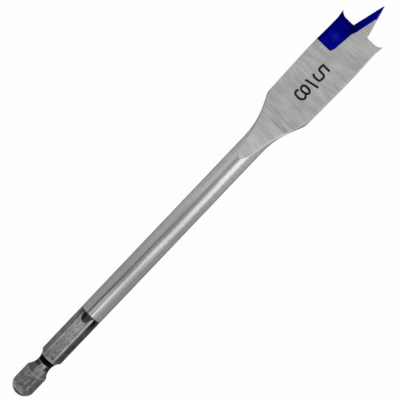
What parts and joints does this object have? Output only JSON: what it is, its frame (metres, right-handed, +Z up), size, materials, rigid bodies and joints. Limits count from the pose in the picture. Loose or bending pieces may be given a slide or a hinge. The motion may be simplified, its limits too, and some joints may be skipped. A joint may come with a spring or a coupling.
{
  "type": "spade drill bit",
  "caption": "Spade drill bit for wood: hexagon shank with a chuck groove, round shaft, flared neck, and a flat blade with spurs, cutting lips and a centre point.",
  "frame": {"origin": "under the middle of the bit's length, on the surface that its round shaft lies on", "axes": "+X along the bit, from the shank to the point; +Y across the blade; +Z up, square to the blade's marked face"},
  "size_m": [0.1566, 0.0158, 0.0071],
  "materials": {
    "steel": "ground across on the blade and ramps, polished shaft, dark shank, hollows at the lips painted blue"
  },
  "bodies": {
    "root": {"spade_bit": "steel"}
  },
  "joints": []
}
